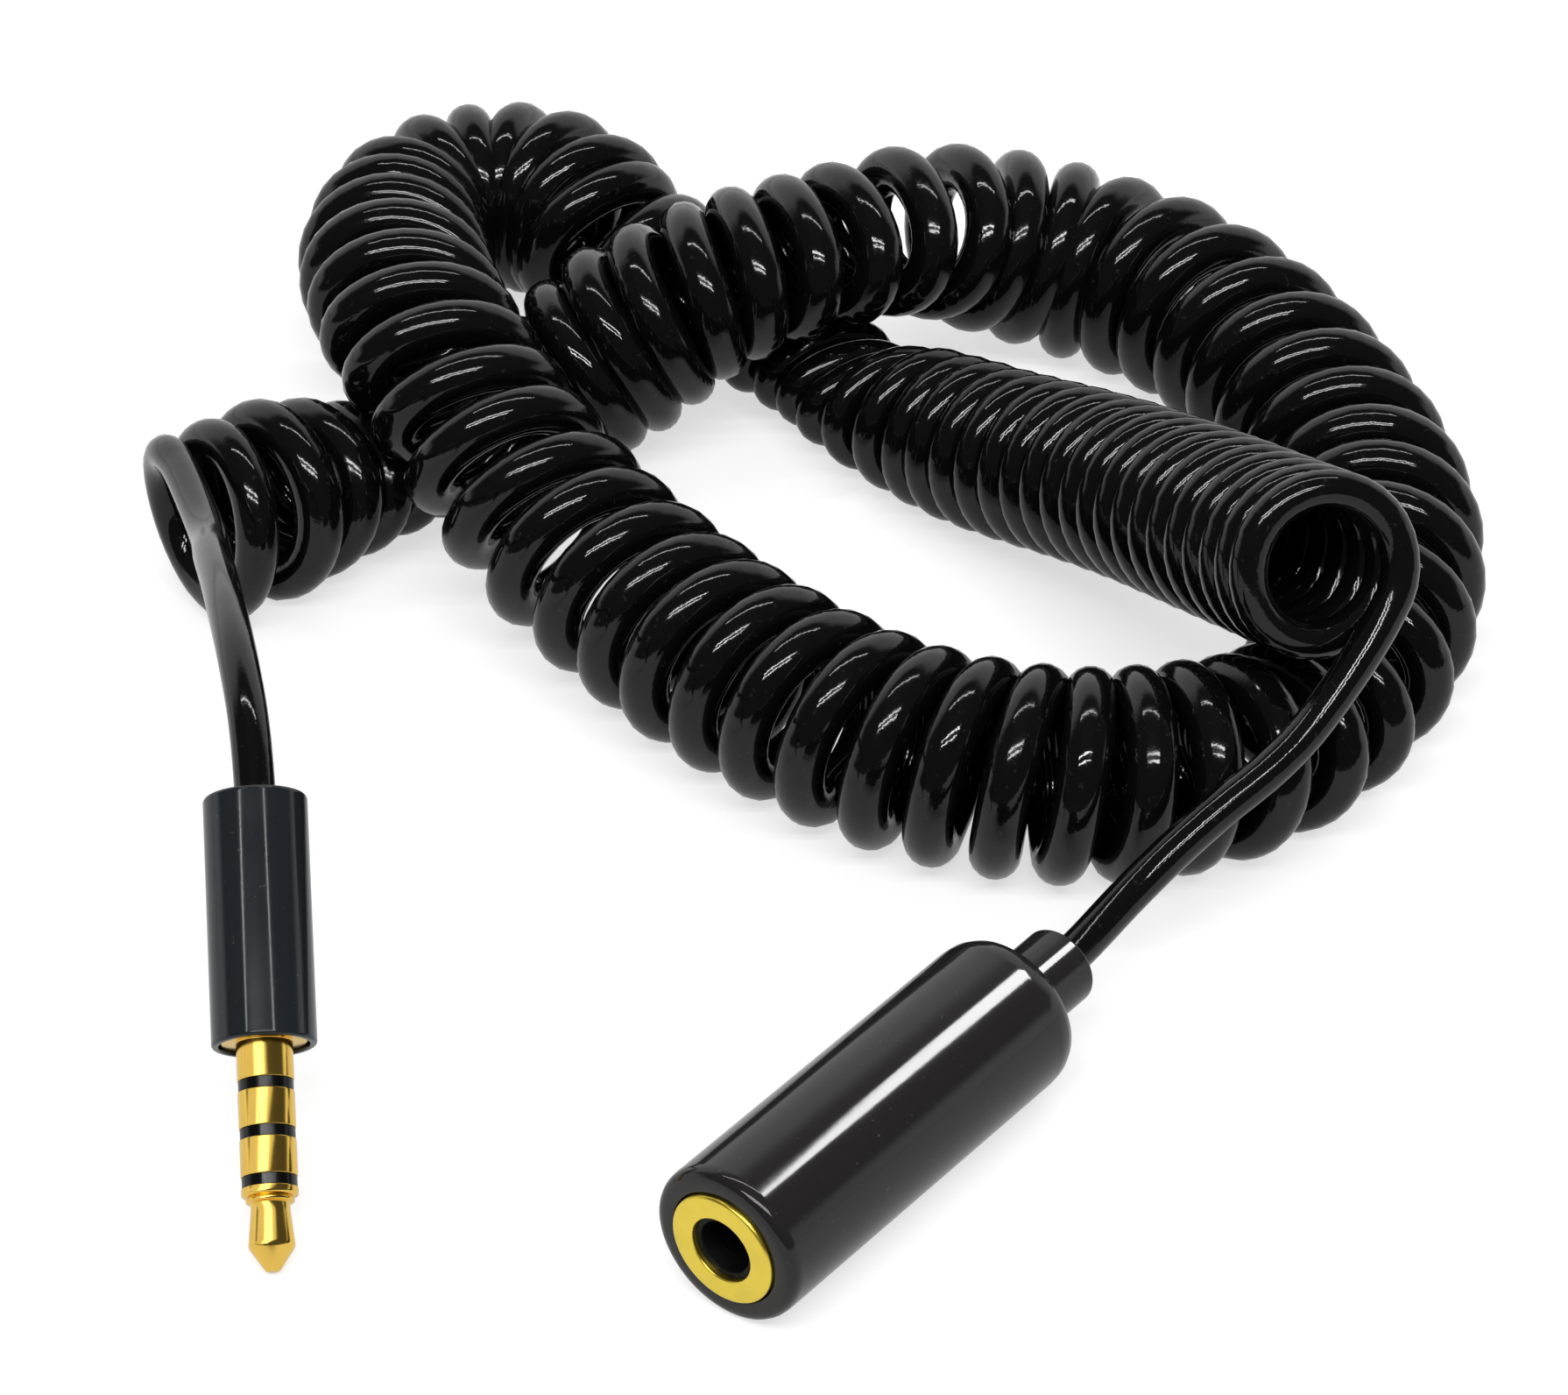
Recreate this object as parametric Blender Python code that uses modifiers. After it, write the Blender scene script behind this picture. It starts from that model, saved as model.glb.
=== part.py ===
"""Coiled 3.5 mm four-pole audio extension cable: a curly cord with a plug and an in-line socket.

Metres, +Z up. The cable lies on the plane z = 0. Sizes below are in millimetres and are
turned into metres by MM. The plug and the socket are drawn along their own axes and then
laid in place; the cord is one left-handed helix whose middle line follows COIL_ROUTE.
"""

import math

import bmesh
import bpy
import numpy as np
from mathutils import Matrix, Vector

MM = 0.001

# Cord
CORD_D = 2.8  # outside of the cord
COIL_D = 13.9  # outside of a curl
STRAND_GAP = 0.62  # least room that is aimed at between two curls, on the inside of a bend
CURL_POINTS = 8
FLAT = 0.1  # share of the cord's diameter cut flat where the coil lies on the table
BUTT_GAP = 0.1  # between two lengths of the cord that meet end to end

# Four-pole plug, measured from its tip backwards
PIN_D = 3.5
PIN_LENGTH = 14.0
BAND = 0.7  # each insulating band between two contacts
RING = 2.3  # each of the two middle contacts
TIP_LENGTH = 5.1
FIT = 0.03  # room between parts that fit round one another
PLUG_D = 6.5
PLUG_LENGTH = 29.8  # pin and barrel
PLUG_REAR_WALL = 2.2
PLUG_CORD_END = PLUG_LENGTH - 4.6  # the cut end of the cord inside the barrel
PLUG_TAILS_END = PLUG_LENGTH - 7.8  # rear end of the longest tail, which is the tip's
COLLAR_D = 5.4
CONTACT_WALL = 0.17

# In-line socket, measured from its front face backwards
SOCKET_D = 10.6
SOCKET_LENGTH = 29.0
SOCKET_NECK_D = 5.3
SOCKET_NECK_END = SOCKET_LENGTH + 5.2
SOCKET_CORD_END = SOCKET_LENGTH - 6.0
BUSH_D = 7.5
BORE_D = 3.6
SPRING_R = 2.35  # from the axis to the middle of a contact spring
SPRING_THICK = 0.22
TAILS_END = SOCKET_LENGTH - 8.1  # rear ends of the springs and the earth tag
BODY_END = SOCKET_LENGTH - 10.7  # rear end of the insulating body
WIRE_D = 0.6  # each insulated conductor inside the plug and the socket
WIRE_SPREAD = 0.55  # from the axis to each conductor where it leaves the cord
# Each conductor's bared end in the plug: its name, how far it is from the axis, degrees round
# the axis and how far it stops behind the rear end of the tip's tail
PLUG_WIRES = (
    ("copper", 1.35, 15, 0.3),
    ("red", 1.2, 110, -2.2),
    ("white", 0.8, 225, -0.7),
    ("green", 1.6, 290, -3.7),
)

SIDES = 32  # of a turned part
SHELL_SIDES = 48
WELD = 0.002  # points of a converted tube that are nearer than this are one point
SPAN_STEPS = 40  # points that a smooth curve is read at between two of its route's points
STEP = 0.25  # between the points that the coil's middle line is read at
BEND_SPAN = 6.0  # of the middle line, that its bend is averaged over
SAMPLE = 0.5  # between the points that gaps are measured at

# Where the plug and the socket lie: a point on the axis and the point it runs back to
PLUG_TIP = (-32.55, -55.96, 0.5)
PLUG_REAR = (-34.44, -32.26, 18.46)
SOCKET_FACE = (-5.25, -59.26, SOCKET_D / 2)
SOCKET_REAR = (16.75, -31.16, SOCKET_D / 2)

# The middle of the coil: x, y, z, half the curl's height and half its width to the middle of
# the cord. A curl is lower where it is pressed under or over another stretch of the coil.
FULL = (COIL_D - CORD_D) / 2
COIL_ROUTE = (
    (-43.65, 13.94, 6.95, FULL, FULL),
    (-40.25, 15.84, 6.9, 5.5, FULL),
    (-37.55, 18.64, 6.7, 5.3, 5.4),
    (-33.85, 22.94, 5.3, 3.9, 5.0),
    (-29.45, 27.14, 3.8, 2.4, 4.3),
    (-24.45, 30.54, 3.7, 2.3, 4.2),
    (-19.25, 32.94, 5.2, 3.8, 4.9),
    (-14.05, 35.34, 8.6, FULL, FULL),
    (-8.45, 36.94, 11.9, 4.7, 5.4),
    (-3.15, 38.94, 13.2, 4.1, 5.4),
    (1.95, 41.74, 13.1, 3.8, 5.4),
    (6.85, 45.34, 12.2, 4.3, 5.4),
    (12.95, 48.94, 9.4, 5.2, 5.5),
    (20.35, 49.14, 7.2, FULL, FULL),
    (27.15, 44.84, 6.95, FULL, FULL),
    (32.35, 37.94, 6.95, FULL, FULL),
    (36.55, 28.44, 6.95, FULL, FULL),
    (39.25, 18.64, 6.95, FULL, FULL),
    (39.55, 9.24, 6.95, FULL, FULL),
    (37.45, 0.54, 6.1, 4.7, 5.4),
    (32.75, -7.06, 5.6, 4.2, 5.3),
    (26.75, -12.26, 6.5, 5.1, FULL),
    (17.45, -14.56, 6.95, FULL, FULL),
    (6.35, -11.46, 6.95, FULL, FULL),
    (-3.85, -3.46, 6.95, FULL, FULL),
    (-10.45, 4.04, 7.1, FULL, FULL),
    (-16.45, 11.14, 8.2, FULL, FULL),
    (-21.05, 17.34, 10.6, 5.1, 5.5),
    (-24.85, 23.34, 12.9, 4.2, 5.4),
    (-27.65, 29.94, 13.4, 3.9, 5.4),
    (-29.25, 36.74, 12.2, 4.3, 5.4),
    (-30.35, 45.14, 9.3, 5.2, 5.5),
    (-30.45, 51.94, 7.2, FULL, 5.4),
    (-28.25, 57.14, 6.95, FULL, 5.2),
    (-22.85, 59.24, 6.95, FULL, 5.1),
    (-17.75, 56.94, 6.95, FULL, 5.3),
    (-15.05, 53.74, 6.3, 4.9, 5.3),
    (-11.65, 51.54, 5.3, 3.9, 5.1),
    (-7.85, 49.14, 4.5, 3.1, 4.8),
    (-3.85, 45.94, 4.0, 2.6, 4.5),
    (-0.65, 42.54, 3.7, 2.3, 4.2),
    (2.15, 38.94, 3.7, 2.3, 4.2),
    (4.55, 34.94, 3.9, 2.5, 4.3),
    (7.45, 30.74, 5.4, 4.0, 4.6),
    (11.25, 26.74, 6.2, 4.7, 4.8),
    (14.25, 23.34, 7.2, 4.8, 4.9),
    (18.95, 17.84, 9.2, 4.9, 5.0),
    (22.95, 11.74, 11.6, 5.0, 5.0),
    (28.15, 1.24, 15.9, 5.1, 5.1),
    (31.75, -6.66, 19.2, 5.1, 5.1),
    (33.65, -11.66, 21.5, 5.1, 5.1),
)
# Curls from the first top to the last side: the last quarter ends at the side of the ring,
# where the cord turns down to the socket.
LAST_TURN = 0.375  # how far round its last turn the coil ends

# Free stretches between the plug, the coil and the socket
PLUG_LEAD_ROUTE = (
    (-35.05, -27.66, 21.2),
    (-36.05, -22.46, 22.0),
    (-37.15, -16.66, 21.2),
    (-38.25, -10.46, 19.4),
    (-39.45, -3.86, 17.0),
    (-40.55, 2.94, 14.4),
)
SOCKET_LEAD_ROUTE = (
    (32.35, -17.36, 12.9),
    (29.55, -19.86, 11.3),
    (26.45, -22.06, 9.9),
    (23.35, -24.36, 8.3),
    (20.45, -26.86, 6.7),
)


def start_scene():
    for old in list(bpy.data.objects):
        bpy.data.objects.remove(old, do_unlink=True)
    for name in ("parts", "cutters"):
        group = bpy.data.collections.new(name)
        bpy.context.scene.collection.children.link(group)
        group.hide_render = name == "cutters"


def material(name, colour, metallic, roughness):
    mat = bpy.data.materials.new(name)
    mat.use_nodes = True
    shader = mat.node_tree.nodes["Principled BSDF"]
    shader.inputs["Base Color"].default_value = (*colour, 1.0)
    shader.inputs["Metallic"].default_value = metallic
    shader.inputs["Roughness"].default_value = roughness
    return mat


LOOKS = {
    "gold": ((0.83, 0.60, 0.20), 1.0, 0.25),
    "cord": ((0.012, 0.012, 0.014), 0.0, 0.25),
    "shell": ((0.03, 0.03, 0.032), 0.0, 0.35),
    "insulator": ((0.02, 0.02, 0.02), 0.0, 0.5),
    "spring": ((0.80, 0.72, 0.55), 1.0, 0.3),
    "wire_red": ((0.45, 0.03, 0.02), 0.0, 0.5),
    "wire_green": ((0.02, 0.25, 0.06), 0.0, 0.5),
    "wire_white": ((0.75, 0.75, 0.72), 0.0, 0.5),
    "wire_copper": ((0.75, 0.36, 0.18), 1.0, 0.35),
}


def add_object(name, data, look, group="parts"):
    obj = bpy.data.objects.new(name, data)
    bpy.data.collections[group].objects.link(obj)
    if look:
        data.materials.append(material(f"{name}_{look}", *LOOKS[look]))
    return obj


def turned(name, profile, look, place, group="parts", sides=SIDES):
    """A profile of (radius, height) pairs turned round its place's z axis.

    A profile that starts on the axis ends there. Any other is closed and has a bore.
    """
    area = sum(r0 * z1 - r1 * z0 for (r0, z0), (r1, z1) in zip(profile, profile[1:] + profile[:1]))
    points = [(radius * MM, 0.0, height * MM) for radius, height in profile]
    if area > 0:
        points.reverse()
    edges = [(index, index + 1) for index in range(len(points) - 1)]
    if profile[0][0] > 0:
        edges.append((len(points) - 1, 0))
    mesh = bpy.data.meshes.new(name)
    mesh.from_pydata(points, edges, [])
    obj = add_object(name, mesh, look, group)
    obj.matrix_world = place
    screw = obj.modifiers.new("turn", "SCREW")
    screw.steps = screw.render_steps = sides
    screw.use_merge_vertices = True
    screw.merge_threshold = WELD * MM
    return obj


def cutter_box(name, low, high, place=Matrix()):
    size, middle = Vector(high) - Vector(low), (Vector(high) + Vector(low)) / 2
    mesh = bpy.data.meshes.new(name)
    shape = bmesh.new()
    spread = Matrix.Translation(middle * MM) @ Matrix.Diagonal((*(size * MM), 1.0))
    bmesh.ops.create_cube(shape, size=1.0, matrix=spread)
    shape.to_mesh(mesh)
    shape.free()
    obj = add_object(name, mesh, None, "cutters")
    obj.matrix_world = place
    return obj


def boolean(obj, other, operation="DIFFERENCE"):
    modifier = obj.modifiers.new(other.name, "BOOLEAN")
    modifier.operation = operation
    modifier.solver = "EXACT"
    modifier.object = other


def strip(name, line, thickness, width, look, place, group="parts"):
    """A flat strip bent along a line of (radius, height) pairs in the plane of its place."""
    shape = bmesh.new()
    points = [shape.verts.new((r * MM, -width / 2 * MM, h * MM)) for r, h in line]
    edges = [shape.edges.new(pair) for pair in zip(points, points[1:])]
    wide = bmesh.ops.extrude_edge_only(shape, edges=edges)["geom"]
    moved = [item for item in wide if isinstance(item, bmesh.types.BMVert)]
    bmesh.ops.translate(shape, verts=moved, vec=(0.0, width * MM, 0.0))
    mesh = bpy.data.meshes.new(name)
    shape.to_mesh(mesh)
    shape.free()
    obj = add_object(name, mesh, look, group)
    obj.matrix_world = place
    sheet = obj.modifiers.new("sheet", "SOLIDIFY")
    sheet.thickness = thickness * MM
    sheet.offset = 0.0
    sheet.use_even_offset = True
    return obj


def tube(name, points, diameter, look, resolution):
    """A round tube through points in millimetres, with closed ends."""
    curve = bpy.data.curves.new(name, "CURVE")
    curve.dimensions = "3D"
    curve.bevel_depth = diameter / 2 * MM
    curve.bevel_resolution = resolution
    curve.use_fill_caps = True
    spline = curve.splines.new("POLY")
    spline.points.add(len(points) - 1)
    for target, point in zip(spline.points, points):
        target.co = (*(Vector(point) * MM), 1.0)
    return add_object(name, curve, look)


def as_mesh(obj, look):
    """The same solid as a mesh object, which a Boolean can cut."""
    name = obj.name
    bpy.context.view_layer.update()
    evaluated = obj.evaluated_get(bpy.context.evaluated_depsgraph_get())
    mesh = bpy.data.meshes.new_from_object(evaluated)
    bpy.data.objects.remove(obj, do_unlink=True)
    mesh.name = name
    shape = bmesh.new()
    shape.from_mesh(mesh)
    bmesh.ops.remove_doubles(shape, verts=shape.verts, dist=WELD * MM)
    bmesh.ops.recalc_face_normals(shape, faces=shape.faces)
    shape.to_mesh(mesh)
    shape.free()
    mesh.materials.clear()
    return add_object(name, mesh, look)


def smooth(route, per_span=SPAN_STEPS):
    """A centripetal Catmull-Rom curve through the route's rows, read at even parameters."""
    rows = np.array(route, float)
    rows = np.vstack([2 * rows[0] - rows[1], rows, 2 * rows[-1] - rows[-2]])
    found = []
    for index in range(1, len(rows) - 2):
        p0, p1, p2, p3 = rows[index - 1 : index + 3]
        knots = [0.0]
        for a, b in ((p0, p1), (p1, p2), (p2, p3)):
            knots.append(knots[-1] + math.sqrt(np.linalg.norm((b - a)[:3])))
        t0, t1, t2, t3 = knots
        for t in np.linspace(t1, t2, per_span, endpoint=False):
            a1 = ((t1 - t) * p0 + (t - t0) * p1) / (t1 - t0)
            a2 = ((t2 - t) * p1 + (t - t1) * p2) / (t2 - t1)
            a3 = ((t3 - t) * p2 + (t - t2) * p3) / (t3 - t2)
            b1 = ((t2 - t) * a1 + (t - t0) * a2) / (t2 - t0)
            b2 = ((t3 - t) * a2 + (t - t1) * a3) / (t3 - t1)
            found.append(((t2 - t) * b1 + (t - t1) * b2) / (t2 - t1))
    found.append(rows[-2])
    return np.array(found)


def lengths(points):
    return np.concatenate([[0.0], np.cumsum(np.linalg.norm(np.diff(points, axis=0), axis=1))])


def unit(rows):
    return rows / np.linalg.norm(rows, axis=1)[:, None]


def coil_points():
    """Points of the curls from the top of the first to the side of the last, and how many curls."""
    rows = smooth(COIL_ROUTE)
    at = lengths(rows[:, :3])
    even = np.arange(0.0, at[-1], STEP)
    rows = np.stack([np.interp(even, at, rows[:, k]) for k in range(5)], axis=1)
    along = unit(np.gradient(rows[:, :3], axis=0))
    side = unit(np.cross(along, (0.0, 0.0, 1.0)))
    lift = np.cross(side, along)
    bend = np.linalg.norm(np.gradient(along, even, axis=0), axis=1)
    half = round(BEND_SPAN / STEP / 2)
    window = np.full(2 * half + 1, 1 / (2 * half + 1))
    bend = np.convolve(np.pad(bend, half, mode="edge"), window, mode="valid")
    pitch = (CORD_D + STRAND_GAP) / (1 - bend * FULL)
    turns = np.concatenate([[0.0], np.cumsum(STEP / pitch[:-1])])
    whole = math.floor(turns[-1] - LAST_TURN) + LAST_TURN
    turns *= whole / turns[-1]
    steps = np.linspace(0.0, whole, int(whole * CURL_POINTS) + 1)
    where = np.interp(steps, turns, np.arange(len(rows)))

    def read(table):
        columns = [np.interp(where, np.arange(len(rows)), table[:, k]) for k in range(table.shape[1])]
        return np.stack(columns, axis=1)

    middle, sideways, upwards = read(rows), read(side), read(lift)
    angle = 2 * math.pi * steps
    points = middle[:, :3] + upwards * (middle[:, 3] * np.cos(angle))[:, None]
    points -= sideways * (middle[:, 4] * np.sin(angle))[:, None]
    points[:, 2] -= FLAT * CORD_D
    return points, whole


def least_gap(points, diameter):
    """The least room between parts of a cord that are over three diameters apart along it."""
    at = lengths(points)
    even = np.arange(0.0, at[-1], SAMPLE)
    dense = np.stack([np.interp(even, at, points[:, k]) for k in range(3)], axis=1)
    least = np.inf
    for start in range(0, len(dense), 400):
        block = dense[start : start + 400]
        span = np.linalg.norm(block[:, None] - dense[None], axis=2)
        near = np.abs(even[start : start + 400][:, None] - even[None]) < 3 * diameter
        span[near] = np.inf
        least = min(least, span.min())
    return least - diameter


def lying(axis_from, axis_to):
    """The matrix that lays a part drawn up the z axis along the line between two points."""
    start, end = Vector(axis_from), Vector(axis_to)
    turn = (end - start).to_track_quat("Z", "Y")
    return Matrix.Translation(start * MM) @ turn.to_matrix().to_4x4()


def spun(place, degrees):
    return place @ Matrix.Rotation(math.radians(degrees), 4, "Z")


def placed(place, point):
    """A point of a laid part, in millimetres of the whole cable."""
    return place @ (Vector(point) * MM) / MM


def make_plug(place):
    """Tip, two rings and sleeve, each a turned piece whose tail runs back inside the next one."""
    pin = PIN_D / 2
    tips = [TIP_LENGTH, TIP_LENGTH + BAND + RING, TIP_LENGTH + 2 * (BAND + RING)]
    rod, tail = 0.45, PLUG_TAILS_END
    turned(
        "plug_tip",
        (
            (0, 0),
            (0.5, 0.05),
            (1.45, 1.55),
            (1.22, 4.1),
            (1.22, 4.45),
            (pin, 4.65),
            (pin, TIP_LENGTH),
            (rod, TIP_LENGTH),
            (rod, tail),
            (0, tail),
        ),
        "gold",
        place,
    )
    inner = rod
    ends = [tail - step for step in (1.0, 1.6, 2.6, 3.1, 4.1)]
    for number in (1, 2, 3):
        front = tips[number - 1]
        bore, outside = inner + FIT, inner + FIT + CONTACT_WALL
        turned(
            f"plug_insulator_{number}",
            (
                (bore, front + FIT),
                (pin - FIT, front + FIT),
                (pin - FIT, front + BAND - FIT),
                (outside, front + BAND - FIT),
                (outside, ends[2 * number - 2]),
                (bore, ends[2 * number - 2]),
            ),
            "insulator",
            place,
        )
        if number == 3:
            break
        bore, inner = outside + FIT, outside + FIT + CONTACT_WALL
        turned(
            f"plug_ring_{number}",
            (
                (bore, front + BAND),
                (pin, front + BAND),
                (pin, front + BAND + RING),
                (inner, front + BAND + RING),
                (inner, ends[2 * number - 1]),
                (bore, ends[2 * number - 1]),
            ),
            "gold",
            place,
        )
    make_plug_sleeve(place, outside + FIT, tips[2] + BAND)
    hole, inside = CORD_D / 2 + 0.15, 2.8
    turned(
        "plug_barrel",
        (
            (inside, PIN_LENGTH),
            (PLUG_D / 2 - 0.12, PIN_LENGTH),
            (PLUG_D / 2, PIN_LENGTH + 0.12),
            (PLUG_D / 2, PLUG_LENGTH - 0.15),
            (PLUG_D / 2 - 0.15, PLUG_LENGTH),
            (hole, PLUG_LENGTH),
            (hole, PLUG_LENGTH - PLUG_REAR_WALL),
            (inside, PLUG_LENGTH - PLUG_REAR_WALL),
        ),
        "shell",
        place,
        sides=SHELL_SIDES,
    )


def make_plug_sleeve(place, bore, front):
    """The rear contact with its collar, the earth tag and the clip that holds the cord."""
    pin, rear = PIN_D / 2, PLUG_TAILS_END - 4.6
    clip_front = PLUG_CORD_END + 0.4
    clip_rear = clip_front + 1.6
    sleeve = turned(
        "plug_sleeve",
        (
            (bore, front),
            (pin, front),
            (pin, PIN_LENGTH + 0.2),
            (COLLAR_D / 2, PIN_LENGTH + 0.2),
            (COLLAR_D / 2, PIN_LENGTH + 1.3),
            (2.2, PIN_LENGTH + 1.3),
            (2.2, rear),
            (bore, rear),
        ),
        "gold",
        place,
    )
    line = ((1.9, rear - 0.6), (1.9, clip_rear))
    tag = strip("plug_tag", line, 0.35, 1.6, None, place, "cutters")
    clip = turned(
        "plug_clip",
        ((1.62, clip_front), (2.02, clip_front), (2.02, clip_rear), (1.62, clip_rear)),
        None,
        place,
        "cutters",
    )
    mouth = cutter_box("plug_clip_mouth", (-3, -1.0, clip_front - 1), (0, 1.0, clip_rear + 1), place)
    boolean(clip, mouth)
    boolean(sleeve, tag, "UNION")
    boolean(sleeve, clip, "UNION")


def make_wires(prefix, place, cord_end, ends):
    """Four conductors, a quarter turn apart at the cut end of the cord, out to their contacts."""
    for index, (kind, radius, degrees, height) in enumerate(ends):
        start = math.radians(90 * index + 45)
        stop = math.radians(degrees)
        near = (WIRE_SPREAD * math.cos(start), WIRE_SPREAD * math.sin(start))
        far = (radius * math.cos(stop), radius * math.sin(stop))
        route = (
            (*near, cord_end - 0.1),
            (*near, cord_end - 0.6),
            (*far, height + 0.9),
            (*far, height),
        )
        points = [placed(place, point) for point in route]
        tube(f"{prefix}_wire_{kind}", points, WIRE_D, f"wire_{kind}", 1)


def make_socket(place):
    half, bore = SOCKET_D / 2, BORE_D / 2
    hollow, rear = 3.85, SOCKET_LENGTH
    turned(
        "socket_housing",
        (
            (hollow, 0),
            (half - 0.35, 0),
            (half - 0.1, 0.1),
            (half, 0.35),
            (half, rear - 1.5),
            (half - 0.45, rear - 0.45),
            (half - 1.5, rear),
            (SOCKET_NECK_D / 2 + 0.05, rear),
            (SOCKET_NECK_D / 2 + 0.05, rear - 3),
            (hollow, rear - 3),
        ),
        "shell",
        place,
        sides=SHELL_SIDES,
    )
    hole = CORD_D / 2 + 0.1
    neck = SOCKET_NECK_D / 2
    turned(
        "socket_neck",
        (
            (hole, rear - 4.2),
            (hollow - 0.1, rear - 4.2),
            (hollow - 0.1, rear - 3.1),
            (neck, rear - 3.1),
            (neck, SOCKET_NECK_END - 0.5),
            (neck - 0.5, SOCKET_NECK_END),
            (hole, SOCKET_NECK_END),
        ),
        "shell",
        place,
    )
    flange, inside = BUSH_D / 2, 2.9
    bush = turned(
        "socket_bush",
        (
            (bore + 0.35, -0.3),
            (flange - 0.1, -0.3),
            (flange, -0.2),
            (flange, 1.3),
            (3.3, 1.3),
            (3.3, 5.2),
            (inside, 5.2),
            (inside, 1.6),
            (bore, 1.6),
            (bore, 0.05),
        ),
        "gold",
        place,
    )
    tag_place = spun(place, 60)
    line = ((3.15, 4.6), (3.15, TAILS_END))
    tag = strip("socket_tag", line, 0.25, 1.2, None, tag_place, "cutters")
    boolean(bush, tag, "UNION")
    body = turned(
        "socket_insulator",
        (
            (bore, 1.7),
            (inside - FIT, 1.7),
            (inside - FIT, 5.3),
            (3.75, 5.3),
            (3.75, BODY_END),
            (bore, BODY_END),
        ),
        "insulator",
        place,
    )
    boolean(body, cutter_box("tag_groove", (2.95, -0.75, 5.0), (4.2, 0.75, BODY_END + 1), tag_place))
    for name, contact, degrees in (("ring_2", 3.5, 0), ("ring_1", 6.6, 120), ("tip", 10.3, 240)):
        own = spun(place, degrees)
        slot = cutter_box(f"{name}_slot", (1.2, -0.7, contact - 0.9), (2.7, 0.7, BODY_END + 1), own)
        boolean(body, slot)
        strip(
            f"socket_spring_{name}",
            (
                (2.1, contact - 0.6),
                (1.86, contact),
                (SPRING_R, contact + 1.6),
                (SPRING_R, TAILS_END),
            ),
            SPRING_THICK,
            1.0,
            "spring",
            own,
        )


def make_coil():
    """The curly cord, cut flat where it lies on the table, and the points of its middle line."""
    curls, turns = coil_points()
    lead_in = Vector(curls[0]) + heading(curls[::-1]) * CORD_D
    lead_out = Vector(curls[-1]) + heading(curls) * CORD_D
    points = [lead_in, *[Vector(point) for point in curls], lead_out]
    coil = as_mesh(tube("curly_cord", points, CORD_D, None, 1), "cord")
    boolean(coil, cutter_box("table_top", (-80, -80, -10), (80, 90, 0)))
    middle = np.array([tuple(point) for point in points])
    print(f"curls {turns:.2f}, least gap of the coil to itself {least_gap(middle, CORD_D):.2f} mm")
    return middle


def make_leads(plug_place, socket_place, coil):
    """The two free stretches that run from the ends of the coil into the plug and the socket."""
    start, end = Vector(coil[0]), Vector(coil[-1])
    outward = (start - Vector(coil[1])).normalized()
    onward = (end - Vector(coil[-2])).normalized()
    first, second = BUTT_GAP, BUTT_GAP + CORD_D
    plug_route = [
        placed(plug_place, (0, 0, PLUG_CORD_END)),
        placed(plug_place, (0, 0, PLUG_LENGTH + 1.0)),
        *PLUG_LEAD_ROUTE,
        start + outward * second,
        start + outward * first,
    ]
    socket_route = [
        end + onward * first,
        end + onward * second,
        *SOCKET_LEAD_ROUTE,
        placed(socket_place, (0, 0, SOCKET_NECK_END + 1.0)),
        placed(socket_place, (0, 0, SOCKET_CORD_END)),
    ]
    total = lengths(coil)[-1]
    for name, route in (("plug_lead", plug_route), ("socket_lead", socket_route)):
        stretch = free_stretch(name, route)
        total += lengths(stretch)[-1]
        print(f"{name} to the coil: {gap_between(stretch, coil, CORD_D):.2f} mm")
    print(f"cord from end to end {total:.0f} mm")


def heading(points):
    """Which way a row of points goes on from its end."""
    last, before = points[-1] - points[-2], points[-2] - points[-3]
    return Vector(1.5 * last - 0.5 * before).normalized()


def gap_between(stretch, coil, diameter):
    """The least room between a free stretch, away from where it joins, and the coil."""
    at = lengths(stretch)
    even = np.arange(0.0, at[-1], SAMPLE)
    dense = np.stack([np.interp(even, at, stretch[:, k]) for k in range(3)], axis=1)
    at = lengths(coil)
    ends = (at > 4 * diameter) & (at < at[-1] - 4 * diameter)
    span = np.linalg.norm(dense[:, None] - coil[ends][None], axis=2)
    return span.min() - diameter


def free_stretch(name, route):
    """A plain tube along a smooth curve through its route, with its first and last spans straight."""
    line = smooth([tuple(point) for point in route])[SPAN_STEPS:-SPAN_STEPS]
    at = lengths(line)
    even = np.linspace(0.0, at[-1], round(at[-1] / (2 * CORD_D)) + 1)
    middle = np.stack([np.interp(even, at, line[:, k]) for k in range(3)], axis=1)
    points = np.vstack([route[0], middle, route[-1]])
    tube(name, points, CORD_D, "cord", 2)
    return points


def main():
    start_scene()
    plug_place = lying(PLUG_TIP, PLUG_REAR)
    socket_place = lying(SOCKET_FACE, SOCKET_REAR)
    make_plug(plug_place)
    make_socket(socket_place)
    bared = [(*where, PLUG_TAILS_END + back) for *where, back in PLUG_WIRES]
    make_wires("plug", plug_place, PLUG_CORD_END, bared)
    beside = SPRING_R - SPRING_THICK / 2 - WIRE_D / 2 - 0.05
    wires_end = TAILS_END - 1.0
    make_wires(
        "socket",
        socket_place,
        SOCKET_CORD_END,
        (
            ("copper", beside + 0.7, 60, wires_end),
            ("red", beside, 120, wires_end),
            ("white", beside, 240, wires_end),
            ("green", beside, 0, wires_end),
        ),
    )
    make_leads(plug_place, socket_place, make_coil())


main()
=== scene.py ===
"""Looks of the coiled audio extension cable: one unbroken curly cord, a four-pole plug and a socket.

Sizes below are in millimetres and MM turns them into metres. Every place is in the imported
part's frame. The routes repeat those of the part's own source.
"""

import math

import bmesh
import bpy
import numpy as np
from mathutils import Matrix, Vector

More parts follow.
